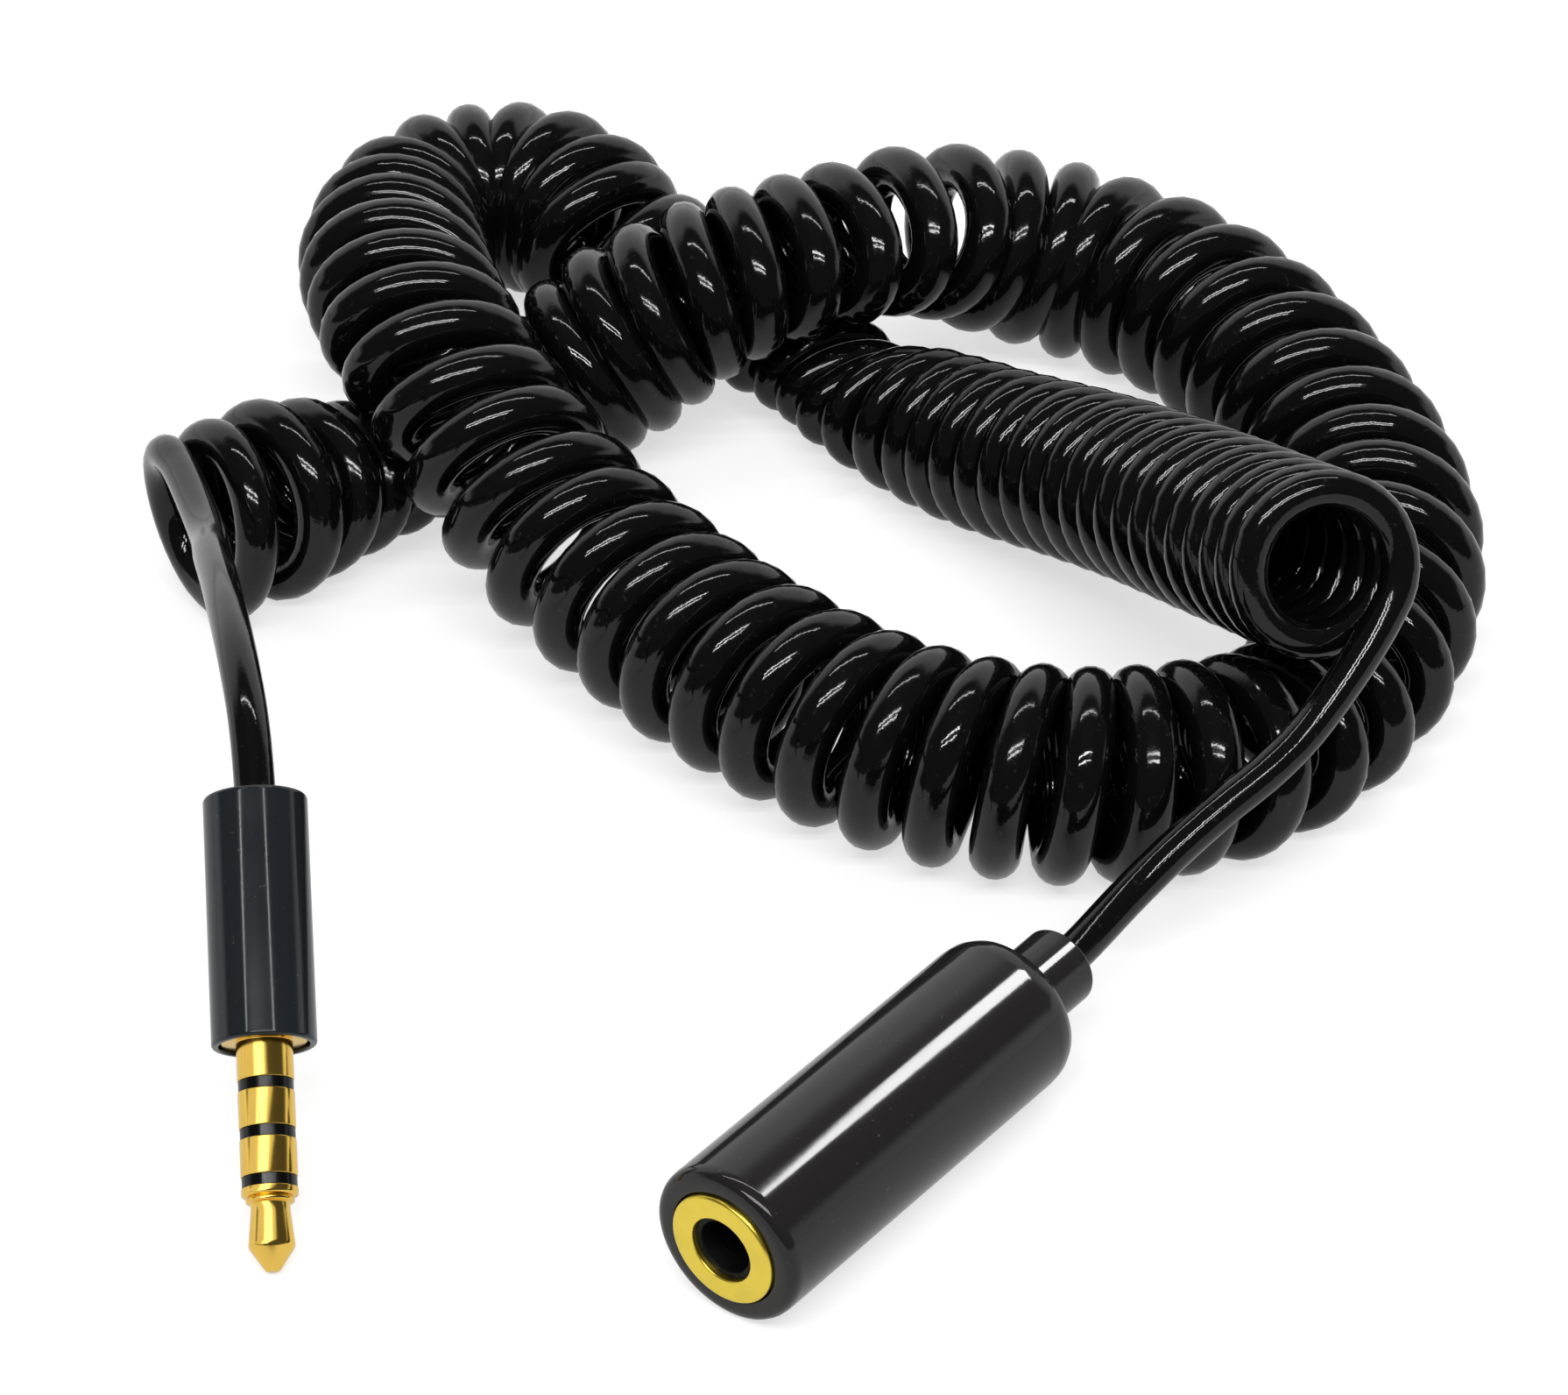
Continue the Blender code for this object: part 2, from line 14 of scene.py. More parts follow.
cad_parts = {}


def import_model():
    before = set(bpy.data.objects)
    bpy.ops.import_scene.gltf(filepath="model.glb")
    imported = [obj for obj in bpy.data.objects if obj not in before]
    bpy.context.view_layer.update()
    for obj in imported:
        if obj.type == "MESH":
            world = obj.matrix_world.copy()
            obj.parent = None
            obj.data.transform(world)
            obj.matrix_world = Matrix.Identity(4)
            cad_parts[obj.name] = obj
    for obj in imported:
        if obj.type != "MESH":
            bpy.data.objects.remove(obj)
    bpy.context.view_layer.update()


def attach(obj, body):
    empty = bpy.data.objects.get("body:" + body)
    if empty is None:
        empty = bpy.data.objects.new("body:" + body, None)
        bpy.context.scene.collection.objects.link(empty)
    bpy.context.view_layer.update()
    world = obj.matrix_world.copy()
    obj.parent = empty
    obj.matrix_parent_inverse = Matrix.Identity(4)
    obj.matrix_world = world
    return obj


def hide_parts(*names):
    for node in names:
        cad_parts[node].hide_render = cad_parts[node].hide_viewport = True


MM = 0.001

# Cord
CORD_D = 2.8  # outside of the cord
COIL_D = 13.9  # outside of a curl
FULL = (COIL_D - CORD_D) / 2  # from a curl's middle to the middle of its cord
LOOP_SWELL = 1.24  # of the cord's radius round the loop
TIGHT_SWELL = 0.92  # and in the tight stretch and the two leads
SWELLED_BY = 1.5  # the turn by which it has its thickness of the loop
TIGHT_FROM = 66.0  # the turn from which it thins again
TIGHT_BY = 70.0  # and the turn by which it is thin
CURL_POINTS = 32  # points of the cord's line in a turn
SPAN_STEPS = 40  # points that a smooth curve is read at between two of its route's points
CORD_ROUNDNESS = 7  # the bevel resolution
LEAD_STRAIGHT = 1.0  # of each lead where it leaves the plug or the socket

# Four-pole plug, measured from its tip backwards
PIN_D = 3.5
PIN_LENGTH = 14.0
PIN_EDGE = 0.06  # rounding of the contacts' edges
BAND = 0.7  # each insulating band between two contacts
BAND_SUNK = 0.05  # below the contacts beside it
RING = 2.3  # each of the two middle contacts
TIP_LENGTH = 5.1
FIT = 0.03  # room between parts that fit round one another
PLUG_D = 6.5
PLUG_BORE_D = 5.6
PLUG_LENGTH = 29.8  # pin and barrel
PLUG_REAR_WALL = 2.2
PLUG_HOLE_ROOM = 0.15  # between the cord and the barrel's rear hole
PLUG_CORD_END = PLUG_LENGTH - 4.6  # the cut end of the cord inside the barrel
PLUG_TAILS_END = PLUG_LENGTH - 7.8  # rear end of the longest tail, which is the tip's
ROD_D = 0.9  # the tip's tail
CONTACT_WALL = 0.17
TAIL_STEPS = (1.0, 1.6, 2.6, 3.1, 4.1, 4.6)  # by which each tail round the tip's is shorter
SLEEVE_D = 4.4
COLLAR_D = 5.4
COLLAR_FRONT = PIN_LENGTH + 0.2
COLLAR_REAR = PIN_LENGTH + 1.3
CLIP_D = 4.04
CLIP_BORE_D = 3.24
CLIP_FRONT = PLUG_CORD_END + 0.4
CLIP_LENGTH = 1.6
CLIP_WRAP = 290.0  # degrees that the clip goes round the cord
TAG_WIDTH = 1.6

# In-line socket, measured from its front face backwards
SOCKET_D = 10.6
SOCKET_BORE_D = 7.7
SOCKET_LENGTH = 29.0
SOCKET_REAR_WALL = 3.0
SOCKET_NECK_D = 5.3
SOCKET_NECK_END = SOCKET_LENGTH + 5.2
SOCKET_HOLE_ROOM = 0.1  # between the cord and the neck's hole
SOCKET_CORD_END = SOCKET_LENGTH - 6.0
NECK_FILLET = 0.65
BUSH_D = 7.5
BUSH_FRONT = -0.3  # it stands this far out of the housing
BORE_D = 3.6
MOUTH_D = 4.4  # the opening in the gold ring, in front of the bore's lining
LINING_FRONT = 0.1
LINING_REAR = 1.6
TAILS_END = SOCKET_LENGTH - 8.1  # rear end of the earth tag

# Where the plug and the socket lie: a point on the axis and the point it runs back to
PLUG_TIP = (-32.55, -55.96, 0.5)
PLUG_REAR = (-34.44, -32.26, 18.46)
SOCKET_FACE = (-5.25, -59.26, SOCKET_D / 2)
SOCKET_REAR = (16.75, -31.16, SOCKET_D / 2)

# The middle of the coil: turn, x, y, z, half the curl's height and half its width
COIL_ROUTE = (
    (0.0, -43.65, 13.94, 6.95, FULL, FULL),
    (1.0, -40.25, 15.84, 6.9, 5.5, FULL),
    (2.0, -37.55, 18.64, 6.7, 5.3, 5.4),
    (3.5, -33.85, 22.94, 5.3, 3.9, 5.0),
    (5.1, -29.45, 27.14, 3.8, 2.4, 4.3),
    (6.8, -24.45, 30.54, 3.7, 2.3, 4.2),
    (8.6, -19.25, 32.94, 5.2, 3.8, 4.9),
    (10.6, -14.05, 35.34, 8.6, FULL, FULL),
    (12.6, -8.45, 36.94, 11.9, 4.7, 5.4),
    (14.3, -3.15, 38.94, 13.2, 4.1, 5.4),
    (15.7, 1.95, 41.74, 13.1, 3.8, 5.4),
    (17.0, 6.85, 45.34, 12.2, 4.3, 5.4),
    (18.6, 12.95, 48.94, 9.4, 5.2, 5.5),
    (20.5, 20.35, 49.14, 7.2, FULL, FULL),
    (22.3, 27.15, 44.84, 6.95, FULL, FULL),
    (24.0, 32.35, 37.94, 6.95, FULL, FULL),
    (26.0, 36.55, 28.44, 6.95, FULL, FULL),
    (28.0, 39.25, 18.64, 6.95, FULL, FULL),
    (30.0, 39.55, 9.24, 6.95, FULL, FULL),
    (32.0, 37.45, 0.54, 6.1, 4.7, 5.4),
    (33.8, 32.75, -7.06, 5.6, 4.2, 5.3),
    (35.6, 26.75, -12.26, 6.5, 5.1, FULL),
    (38.2, 17.45, -14.56, 6.95, FULL, FULL),
    (41.2, 6.35, -11.46, 6.95, FULL, FULL),
    (44.25, -3.85, -3.46, 6.95, FULL, FULL),
    (46.5, -10.45, 4.04, 7.1, FULL, FULL),
    (48.4, -16.45, 11.14, 8.2, FULL, FULL),
    (50.0, -21.05, 17.34, 10.6, 5.1, 5.5),
    (51.6, -24.85, 23.34, 12.9, 4.2, 5.4),
    (53.1, -27.65, 29.94, 13.4, 3.9, 5.4),
    (54.5, -29.25, 36.74, 12.2, 4.3, 5.4),
    (55.9, -30.35, 45.14, 9.3, 5.2, 5.5),
    (57.2, -30.45, 51.94, 7.2, FULL, 5.4),
    (58.8, -28.25, 57.14, 6.95, FULL, 5.2),
    (60.8, -22.85, 59.24, 6.95, FULL, 5.1),
    (62.6, -17.75, 56.94, 6.95, FULL, 5.3),
    (64.1, -15.05, 53.74, 6.3, 4.9, 5.3),
    (65.1, -11.65, 51.54, 5.3, 3.9, 5.1),
    (66.0, -7.85, 49.14, 4.5, 3.1, 4.8),
    (67.0, -3.85, 45.94, 4.0, 2.6, 4.5),
    (68.1, -0.65, 42.54, 3.7, 2.3, 4.2),
    (69.5, 2.15, 38.94, 3.7, 2.3, 4.2),
    (71.0, 4.55, 34.94, 3.9, 2.5, 4.3),
    (72.5, 7.45, 30.74, 5.4, 4.0, 4.6),
    (74.5, 11.25, 26.74, 6.2, 4.7, 4.8),
    (76.2, 14.25, 23.34, 7.2, 4.8, 4.9),
    (79.05, 18.95, 17.84, 9.2, 4.9, 5.0),
    (81.9, 22.95, 11.74, 11.6, 5.0, 5.0),
    (86.6, 28.15, 1.24, 15.9, 5.1, 5.1),
    (90.1, 31.75, -6.66, 19.2, 5.1, 5.1),
    (92.375, 33.65, -11.66, 21.5, 5.1, 5.1),
)

# The middle of each lead, from the plug to the coil and from the coil to the socket
PLUG_LEAD_ROUTE = (
    (-35.05, -27.66, 21.2),
    (-36.05, -22.46, 22.0),
    (-37.15, -16.66, 21.2),
    (-38.25, -10.46, 19.4),
    (-39.45, -3.86, 17.0),
    (-40.55, 2.94, 14.4),
)
SOCKET_LEAD_ROUTE = (
    (32.35, -17.36, 12.9),
    (29.55, -19.86, 11.3),
    (26.45, -22.06, 9.9),
    (23.35, -24.36, 8.3),
    (20.45, -26.86, 6.7),
)

# Camera: where it looks, how far off, how high and its lens
CAMERA_TARGET = (-1.65, -5.86, 7.0)
CAMERA_DISTANCE = 381.0
CAMERA_HEIGHT = 36.0  # degrees above the table
IMAGE_WIDTH = 1790
FOCAL_PIXELS = 6500
SENSOR = 36.0
VIEW_DEPTH = 10.0  # metres

SIDES = 96  # of a turned piece
CORNER_STEPS = 4  # faces round a rounded corner
WELD = 1e-7  # metres between two points that are one
CREASE = 40.0  # degrees between two faces whose edge stays crisp

# Light, in metres
TUBE_HEIGHT = 0.7
TUBE_LENGTH = 0.8
TUBE_WIDTH = 0.028
TUBES = ((52.0, 2.6), (60.0, 2.6), (107.0, 1.2))  # degrees above the table's front, and power
WORLD_LIGHT = 0.45
# What the surroundings show when mirrored: shares of a direction's y or z between which they
# brighten or darken
ROOM_BACK = (0.15, 0.6)
ROOM_WALL = (0.62, 0.85)
ROOM_SIDE = (-0.25, 0.1)
ROOM_LOW = (0.1, 0.35)
ROOM_TOP = (0.85, 0.97)
ROOM_TOP_SHARE = 0.12  # of full brightness overhead
ROOM_DARK = 0.08  # and where the room is darkest
# Lamps that light only a few pieces: the socket's window, the fine lines on the plug's barrel and
# the skies mirrored in its pin, each with its place, size and power
WINDOW = ((0.50, 0.336, 0.67), (0.2, 0.2), 3.6)
STREAKS = (
    ((-0.30, -0.20, 0.60), (0.012, 0.3), 0.3),
    ((0.21, -0.22, 0.63), (0.012, 0.3), 0.3),
)
SKIES = (
    ((-0.32, -0.19, 0.60), (0.95, 1.8), 4.3),
    ((-0.22, -0.32, 0.58), (0.4, 0.95), 2.6),
)
PIN_PIECES = ("plug_point", "plug_contact_1", "plug_contact_2", "plug_rear_contact")
SOCKET_PIECES = ("socket_shell", "socket_grip")
FLOOR_SIZE = 1.5
FLOOR_COLOUR = (0.45, 0.45, 0.45)
FLOOR_GLOW = 0.65  # where the camera sees it
FLOOR_MIRRORED = 0.35  # glow of the floor where it is mirrored

# Conductors: colour, metallic and roughness
WIRES = {
    "red": ((0.45, 0.03, 0.02), 0.0, 0.45),
    "green": ((0.02, 0.25, 0.06), 0.0, 0.45),
    "white": ((0.75, 0.75, 0.72), 0.0, 0.45),
    "copper": ((0.75, 0.36, 0.18), 1.0, 0.35),
}


# --- Curves -------------------------------------------------------------------------------


def smooth(route, places=slice(0, 3)):
    """A centripetal Catmull-Rom curve through the route's rows, SPAN_STEPS points a span."""
    rows = np.array(route, float)
    rows = np.vstack([2 * rows[0] - rows[1], rows, 2 * rows[-1] - rows[-2]])
    found = []
    for index in range(1, len(rows) - 2):
        p0, p1, p2, p3 = rows[index - 1 : index + 3]
        knots = [0.0]
        for a, b in ((p0, p1), (p1, p2), (p2, p3)):
            knots.append(knots[-1] + math.sqrt(np.linalg.norm((b - a)[places])))
        t0, t1, t2, t3 = knots
        for t in np.linspace(t1, t2, SPAN_STEPS, endpoint=False):
            a1 = ((t1 - t) * p0 + (t - t0) * p1) / (t1 - t0)
            a2 = ((t2 - t) * p1 + (t - t1) * p2) / (t2 - t1)
            a3 = ((t3 - t) * p2 + (t - t2) * p3) / (t3 - t2)
            b1 = ((t2 - t) * a1 + (t - t0) * a2) / (t2 - t0)
            b2 = ((t3 - t) * a2 + (t - t1) * a3) / (t3 - t1)
            found.append(((t2 - t) * b1 + (t - t1) * b2) / (t2 - t1))
    found.append(rows[-2])
    return np.array(found)


def lengths(points):
    """How far along the line each of its points is."""
    return np.concatenate([[0.0], np.cumsum(np.linalg.norm(np.diff(points, axis=0), axis=1))])


def unit(rows):
    """Each row brought to length 1."""
    return rows / np.linalg.norm(rows, axis=1)[:, None]


def spread(points, step):
    """The same line read at even steps along it."""
    at = lengths(points)
    even = np.linspace(0.0, at[-1], max(2, round(at[-1] / step) + 1))
    return np.stack([np.interp(even, at, points[:, k]) for k in range(3)], axis=1)


def helix():
    """Points of the left-handed curls, CURL_POINTS a turn, and the turn that each is at."""
    rows = smooth(COIL_ROUTE, slice(1, 4))
    turn, middle = rows[:, 0], rows[:, 1:4]
    along = unit(np.gradient(middle, axis=0))
    side = unit(np.cross(along, (0.0, 0.0, 1.0)))
    lift = np.cross(side, along)
    turns = np.linspace(turn[0], turn[-1], int((turn[-1] - turn[0]) * CURL_POINTS) + 1)

    def read(table):
        """The table's rows at every one of the turns."""
        return np.stack([np.interp(turns, turn, column) for column in table.T], axis=1)

    middle, side, lift = read(middle), read(side), read(lift)
    tall, wide = read(rows[:, 4:6]).T
    angle = 2 * math.pi * turns
    points = middle + lift * (tall * np.cos(angle))[:, None]
    points -= side * (wide * np.sin(angle))[:, None]
    return points, turns


# --- Placing ------------------------------------------------------------------------------


def lying(axis_from, axis_to):
    """The matrix that lays a part drawn up the z axis along the line between two points."""
    start, end = Vector(axis_from), Vector(axis_to)
    turn = (end - start).to_track_quat("Z", "Y")
    return Matrix.Translation(start * MM) @ turn.to_matrix().to_4x4()


def placed(place, point):
    """A point of a part drawn up the z axis, where the part lies."""
    return place @ (Vector(point) * MM) / MM


def join_scene(obj, slot, *nodes):
    """Takes a piece into the scene, on the part's body and in place of the nodes it shows."""
    bpy.context.scene.collection.objects.link(obj)
    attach(obj, "root")
    if nodes:
        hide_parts(*nodes)
    return obj


# --- Materials ----------------------------------------------------------------------------


def material(name, colour, metallic, roughness, gloss=0.5):
    """A plain material, which the functions below wear in."""
    mat = bpy.data.materials.new(name)
    mat.use_nodes = True
    shader = mat.node_tree.nodes["Principled BSDF"]
    shader.inputs["Base Color"].default_value = (*colour, 1.0)
    shader.inputs["Metallic"].default_value = metallic
    shader.inputs["Roughness"].default_value = roughness
    shader.inputs["Specular IOR Level"].default_value = gloss
    return mat


def add_node(owner, kind, **values):
    """A node of a material or the world, its settings and unlinked inputs given by name."""
    node = owner.node_tree.nodes.new(kind)
    for name, value in values.items():
        if hasattr(node, name):
            setattr(node, name, value)
        else:
            node.inputs[name.replace("_", " ")].default_value = value
    return node


def link(owner, source, target):
    owner.node_tree.links.new(source, target)


def combined(owner, first, second, operation="MAXIMUM"):
    """Two values joined by arithmetic."""
    node = add_node(owner, "ShaderNodeMath", operation=operation)
    link(owner, first, node.inputs[0])
    link(owner, second, node.inputs[1])
    return node.outputs[0]


def ramp(owner, value, start, stop, low=0.0, high=1.0, soft=False):
    """The value brought from start..stop to low..high, with soft ends where asked."""
    change = add_node(owner, "ShaderNodeMapRange")
    change.interpolation_type = "SMOOTHSTEP" if soft else "LINEAR"
    names = ("From Min", "From Max", "To Min", "To Max")
    for name, number in zip(names, (start, stop, low, high)):
        change.inputs[name].default_value = number
    link(owner, value, change.inputs["Value"])
    return change.outputs["Result"]


def noise(mat, size, stretch=(1, 1, 1), detail=3.0):
    """Noise over the piece's own coordinates. Its features are about size mm across."""
    where = add_node(mat, "ShaderNodeTexCoord")
    mapping = add_node(mat, "ShaderNodeMapping", Scale=stretch)
    texture = add_node(mat, "ShaderNodeTexNoise", Scale=1 / (size * MM), Detail=detail)
    link(mat, where.outputs["Object"], mapping.inputs["Vector"])
    link(mat, mapping.outputs["Vector"], texture.inputs["Vector"])
    return texture.outputs["Fac"]


def rings(mat, size):
    """Fine circles round the piece's axis, as a lathe leaves on a flat face."""
    where = add_node(mat, "ShaderNodeTexCoord")
    wave = add_node(
        mat,
        "ShaderNodeTexWave",
        wave_type="RINGS",
        rings_direction="Z",
        Scale=1 / (size * MM * 20),
        Distortion=1.5,
        Detail=2.0,
    )
    link(mat, where.outputs["Object"], wave.inputs["Vector"])
    return wave.outputs["Fac"]


def roughen(mat, value, low, high):
    """The roughness wanders between two values, as handling leaves it."""
    shader = mat.node_tree.nodes["Principled BSDF"]
    link(mat, ramp(mat, value, 0.3, 0.7, low, high), shader.inputs["Roughness"])


def emboss(mat, value, depth, strength=1.0):
    """Bumps of up to depth mm, over any that the material already has."""
    normal = mat.node_tree.nodes["Principled BSDF"].inputs["Normal"]
    bump = add_node(mat, "ShaderNodeBump", Strength=strength, Distance=depth * MM)
    if normal.is_linked:
        link(mat, normal.links[0].from_socket, bump.inputs["Normal"])
    link(mat, value, bump.inputs["Height"])
    link(mat, bump.outputs["Normal"], normal)


def tint(mat, value, colour, start, stop):
    """A second colour where the value is high, such as wear, dust or a worn edge."""
    shader = mat.node_tree.nodes["Principled BSDF"]
    mix = add_node(mat, "ShaderNodeMix", data_type="RGBA")
    mix.inputs["A"].default_value = shader.inputs["Base Color"].default_value
    mix.inputs["B"].default_value = (*colour, 1.0)
    link(mat, ramp(mat, value, start, stop), mix.inputs["Factor"])
    link(mat, mix.outputs["Result"], shader.inputs["Base Color"])


def cord_material():
    """Glossy black jacket with faint handling marks and the slight waviness of an extrusion."""
    mat = material("cord_jacket", (0.003, 0.0028, 0.0032), 0.0, 0.08, 0.36)
    roughen(mat, noise(mat, 6.0, detail=4.0), 0.05, 0.12)
    emboss(mat, noise(mat, 2.0, detail=1.0), 0.012)
    emboss(mat, noise(mat, 0.3, detail=1.0), 0.006)
    tint(mat, noise(mat, 0.5, detail=2.0), (0.02, 0.02, 0.02), 0.66, 0.8)
    return mat


def shell_material(name, roughness, colour):
    """Moulded black plastic with fine handling scratches and a few specks of dust."""
    mat = material(name, colour, 0.0, roughness, 0.33)
    roughen(mat, noise(mat, 5.0, detail=5.0), roughness * 0.85, roughness * 1.2)
    emboss(mat, noise(mat, 1.2, detail=3.0), 0.004, 0.6)
    tint(mat, noise(mat, 0.3, detail=2.0), (0.05, 0.05, 0.05), 0.7, 0.8)
    return mat


def gold_material(name, colour, roughness, turned_marks=True):
    """Gold plating over turned brass: fine rings round the axis and a duller patch here and there."""
    mat = material(name, colour, 1.0, roughness)
    roughen(mat, noise(mat, 1.5, detail=4.0), roughness * 0.9, roughness * 1.2)
    tint(mat, noise(mat, 2.5, detail=3.0), tuple(share * 0.9 for share in colour), 0.45, 0.75)
    if turned_marks:
        emboss(mat, noise(mat, 0.25, (0.02, 0.02, 1.0), 2.0), 0.001, 0.5)
    else:
        emboss(mat, rings(mat, 0.12), 0.004, 0.35)
    return mat


def band_material():
    """Smooth black plastic between the plug's contacts."""
    mat = material("band", (0.002, 0.002, 0.002), 0.0, 0.2, 0.3)
    roughen(mat, noise(mat, 0.8), 0.15, 0.28)
    return mat


def body_material():
    """Unpolished moulded plastic inside the socket."""
    mat = material("moulding", (0.004, 0.004, 0.004), 0.0, 0.5, 0.15)
    roughen(mat, noise(mat, 1.0), 0.4, 0.62)
    emboss(mat, noise(mat, 0.4), 0.01, 0.5)
    return mat


def spring_material():
    """Rolled spring sheet, with its grain along the strip."""
    mat = material("spring_sheet", (0.80, 0.66, 0.42), 1.0, 0.28)
    roughen(mat, noise(mat, 0.8), 0.2, 0.36)
    emboss(mat, noise(mat, 0.2, (1.0, 1.0, 0.05)), 0.003, 0.5)
    return mat


def wire_material(name, colour, metallic, roughness):
    """A conductor's insulation, or its bare copper, a little darker here and there."""
    mat = material(name, colour, metallic, roughness)
    roughen(mat, noise(mat, 0.7), roughness * 0.8, roughness * 1.3)
    tint(mat, noise(mat, 1.5), tuple(share * 0.7 for share in colour), 0.4, 0.7)
    return mat


def dress_nodes(moulding):
    """Better materials on the CAD nodes that stay."""
    sheet = spring_material()
    looks = {f"socket_spring_{kind}": sheet for kind in ("tip", "ring_1", "ring_2")}
    looks["socket_insulator"] = moulding
    for kind, (colour, metallic, roughness) in WIRES.items():
        look = wire_material(f"wire_{kind}", colour, metallic, roughness)
        looks[f"plug_wire_{kind}"] = looks[f"socket_wire_{kind}"] = look
    for name, look in looks.items():
        bpy.data.objects[name].material_slots[0].material = look


# --- Cord ---------------------------------------------------------------------------------


def cord_line(plug_place, socket_place):
    """The whole cord's middle line, with the share of its radius at each point."""
    curls, turns = helix()
    into_coil = [
        placed(plug_place, (0, 0, PLUG_CORD_END)),
        placed(plug_place, (0, 0, PLUG_LENGTH + LEAD_STRAIGHT)),
        *PLUG_LEAD_ROUTE,
        curls[0],
        curls[2],
    ]
    out_of_coil = [
        curls[-4],
        curls[-1],
        *SOCKET_LEAD_ROUTE,
        placed(socket_place, (0, 0, SOCKET_NECK_END + LEAD_STRAIGHT)),
        placed(socket_place, (0, 0, SOCKET_CORD_END)),
    ]
    # The leads' last spans, which lie on the coil, only set the direction there
    first = spread(smooth([tuple(p) for p in into_coil])[:-SPAN_STEPS], CORD_D / 2)
    last = spread(smooth([tuple(p) for p in out_of_coil])[SPAN_STEPS:], CORD_D / 2)
    line = np.vstack([first[:-1], curls, last[1:]])
    coil_share = np.interp(
        turns,
        [0.0, SWELLED_BY, TIGHT_FROM, TIGHT_BY],
        [TIGHT_SWELL, LOOP_SWELL, LOOP_SWELL, TIGHT_SWELL],
    )
    before = np.full(len(first) - 1, TIGHT_SWELL)
    after = np.full(len(last) - 1, TIGHT_SWELL)
    share = np.concatenate([before, coil_share, after])
    line[:, 2] = np.maximum(line[:, 2], share * CORD_D / 2)  # nothing sinks into the table
    return line, share


def make_cord(plug_place, socket_place, look):
    """One round cord from inside the plug, through all the curls, to inside the socket."""
    line, share = cord_line(plug_place, socket_place)
    curve = bpy.data.curves.new("cord", "CURVE")
    curve.dimensions = "3D"
    curve.bevel_depth = CORD_D / 2 * MM
    curve.bevel_resolution = CORD_ROUNDNESS
    curve.use_fill_caps = True
    spline = curve.splines.new("POLY")
    spline.points.add(len(line) - 1)
    for target, point, size in zip(spline.points, line, share):
        target.co = (*(Vector(point) * MM), 1.0)
        target.radius = size
    spline.use_smooth = True
    curve.materials.append(look)
    obj = bpy.data.objects.new("cord", curve)
    join_scene(obj, "cord", "curly_cord", "plug_lead", "socket_lead")


# --- Turned pieces ------------------------------------------------------------------------


def rounded(profile):
    """The profile with each corner that has a third value rounded off over that many mm."""
    found = []
    count = len(profile)
    for index, row in enumerate(profile):
        corner = np.array(row[:2], float)
        if len(row) < 3:
            found.append(corner)
            continue
        ends = []
        for other in (profile[index - 1], profile[(index + 1) % count]):
            away = np.array(other[:2], float) - corner
            reach = min(row[2], 0.49 * np.linalg.norm(away))
            ends.append(corner + away / np.linalg.norm(away) * reach)
        for t in np.linspace(0.0, 1.0, CORNER_STEPS + 1):
            found.append((1 - t) ** 2 * ends[0] + 2 * t * (1 - t) * corner + t**2 * ends[1])
    return found


def spin(shape, outline, closed, degrees=360.0, turn=0.0):
    """Adds an outline of (radius, height) pairs, spun round the z axis, to a bmesh."""
    points = [shape.verts.new((radius * MM, 0.0, height * MM)) for radius, height in outline]
    ring = list(zip(points, points[1:] + points[:1] if closed else points[1:]))
    edges = [shape.edges.new(pair) for pair in ring]
    whole = degrees == 360.0
    start = points + edges if whole else points + edges + [shape.faces.new(points)]
    bmesh.ops.rotate(shape, verts=points, cent=(0, 0, 0), matrix=Matrix.Rotation(turn, 3, "Z"))
    bmesh.ops.spin(
        shape,
        geom=start,
        cent=(0, 0, 0),
        axis=(0, 0, 1),
        angle=math.radians(degrees),
        steps=round(SIDES * degrees / 360),
        use_merge=whole,
    )


def mesh_piece(name, shape, look, slot, place, *nodes):
    """A bmesh as a piece of the scene with soft shading and crisp edges."""
    bmesh.ops.remove_doubles(shape, verts=shape.verts, dist=WELD)
    bmesh.ops.recalc_face_normals(shape, faces=shape.faces)
    mesh = bpy.data.meshes.new(name)
    shape.to_mesh(mesh)
    shape.free()
    mesh.shade_smooth()
    mesh.set_sharp_from_angle(angle=math.radians(CREASE))
    mesh.materials.append(look)
    obj = bpy.data.objects.new(name, mesh)
    obj.modifiers.new("even_shading", "WEIGHTED_NORMAL").keep_sharp = True
    obj.matrix_world = place
    return join_scene(obj, slot, *nodes)


def turned(name, profile, look, slot, place, *nodes):
    """A piece turned from a profile. One that starts on the axis also ends there."""
    shape = bmesh.new()
    spin(shape, rounded(profile), closed=profile[0][0] > 0)
    return mesh_piece(name, shape, look, slot, place, *nodes)


